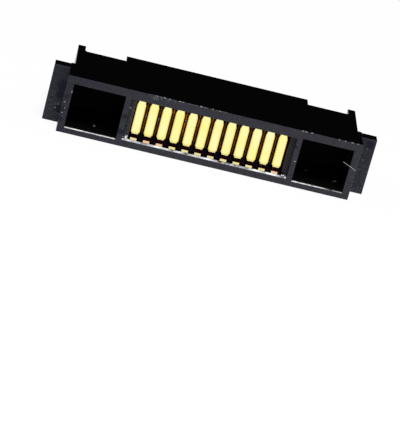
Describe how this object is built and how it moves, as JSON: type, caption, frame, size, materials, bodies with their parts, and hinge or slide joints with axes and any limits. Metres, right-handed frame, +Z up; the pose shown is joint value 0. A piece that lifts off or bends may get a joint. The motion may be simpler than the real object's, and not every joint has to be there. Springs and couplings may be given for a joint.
{
  "type": "charging port connector",
  "caption": "Wide moulded board connector with a row of upright gold contacts between two blind latch pockets, side wings and rear solder tails.",
  "frame": {"origin": "centre of the bounding box on the board face, the underside that rests on the circuit board", "axes": "+X along the contact row, +Y from the mating face to the solder tails, +Z up from the board"},
  "size_m": [0.0252, 0.0084, 0.0046],
  "materials": {
    "housing_plastic": "black moulded plastic with a fine grain and a light sheen",
    "contact_gold": "bright gold plating"
  },
  "bodies": {
    "root": {"housing": "housing_plastic", "contact_01": "contact_gold", "contact_02": "contact_gold", "contact_03": "contact_gold", "contact_04": "contact_gold", "contact_05": "contact_gold", "contact_06": "contact_gold", "contact_07": "contact_gold", "contact_08": "contact_gold", "contact_09": "contact_gold", "contact_10": "contact_gold", "contact_11": "contact_gold", "contact_12": "contact_gold"}
  },
  "joints": []
}
